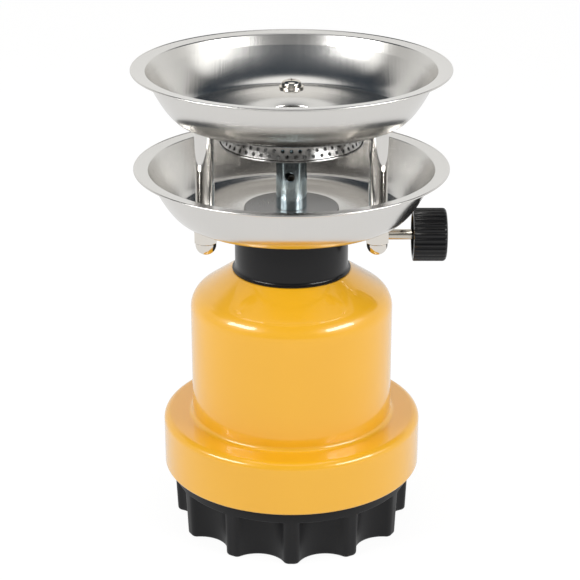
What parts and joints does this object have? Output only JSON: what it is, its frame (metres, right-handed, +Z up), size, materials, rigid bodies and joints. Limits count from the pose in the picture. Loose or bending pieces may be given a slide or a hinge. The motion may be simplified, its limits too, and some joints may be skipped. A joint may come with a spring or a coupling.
{
  "type": "portable gas stove",
  "caption": "Portable gas burner with stainless bowls stacked on posts above a painted cartridge housing, a lobed screw foot and a side control knob.",
  "frame": {"origin": "centre of the foot's underside, on the surface it stands on", "axes": "+Z up along the cartridge's axis, +X towards the control knob"},
  "size_m": [0.1456, 0.1456, 0.2252],
  "materials": {
    "foot_plastic": "moulded black plastic, satin",
    "housing_paint": "warm yellow gloss enamel on pressed steel",
    "ring_plastic": "moulded black plastic",
    "collar_plastic": "black plastic, semi-gloss",
    "knob_plastic": "black plastic, gloss, fluted",
    "bowl_steel": "polished stainless steel sheet",
    "post_steel": "polished stainless tube",
    "fastener_nickel": "nickel plated steel",
    "burner_steel": "bright pressed steel",
    "tube_zinc": "bluish zinc plated steel",
    "plate_steel": "dull stainless sheet",
    "valve_brass": "turned brass",
    "needle_steel": "ground steel",
    "seal_rubber": "black nitrile rubber",
    "cartridge_tin": "plain lacquered tinplate"
  },
  "bodies": {
    "foot": {"screw_foot": "foot_plastic"},
    "cartridge": {"gas_cartridge": "cartridge_tin"},
    "stove": {"housing": "housing_paint", "thread_ring": "ring_plastic", "neck_collar": "collar_plastic", "neck_nut": "valve_brass", "valve_body": "valve_brass", "needle_seal": "seal_rubber", "piercing_needle": "needle_steel", "gas_jet": "valve_brass", "spindle_seal": "seal_rubber", "gland_nut": "valve_brass", "lower_bowl": "bowl_steel", "upper_bowl": "bowl_steel", "post_left": "post_steel", "post_right": "post_steel", "post_rear": "post_steel", "post_bolts": "fastener_nickel", "head_washers": "fastener_nickel", "nut_washers": "fastener_nickel", "domed_nuts": "fastener_nickel", "clamp_plate": "plate_steel", "mixing_tube": "tube_zinc", "burner_dish": "burner_steel", "burner_cap": "burner_steel"},
    "knob": {"control_knob": "knob_plastic", "valve_spindle": "fastener_nickel"}
  },
  "joints": [
    {"name": "stove_turn", "type": "hinge", "parent": "foot", "child": "cartridge", "pos_m": [0, 0, 0.0289], "axis": [0, 0, 1], "range_deg": [0, 990]},
    {"name": "stove_lift", "type": "slide", "parent": "cartridge", "child": "stove", "axis": [0, 0, 1], "range_m": [0, 0.00825]},
    {"name": "knob_turn", "type": "hinge", "parent": "stove", "child": "knob", "pos_m": [0.0566, 0, 0.1444], "axis": [1, 0, 0], "range_deg": [0, 540]}
  ],
  "couplings": [
    {"joint": "stove_lift", "follows": "stove_turn", "m_per_rad": 0.00047746}
  ]
}
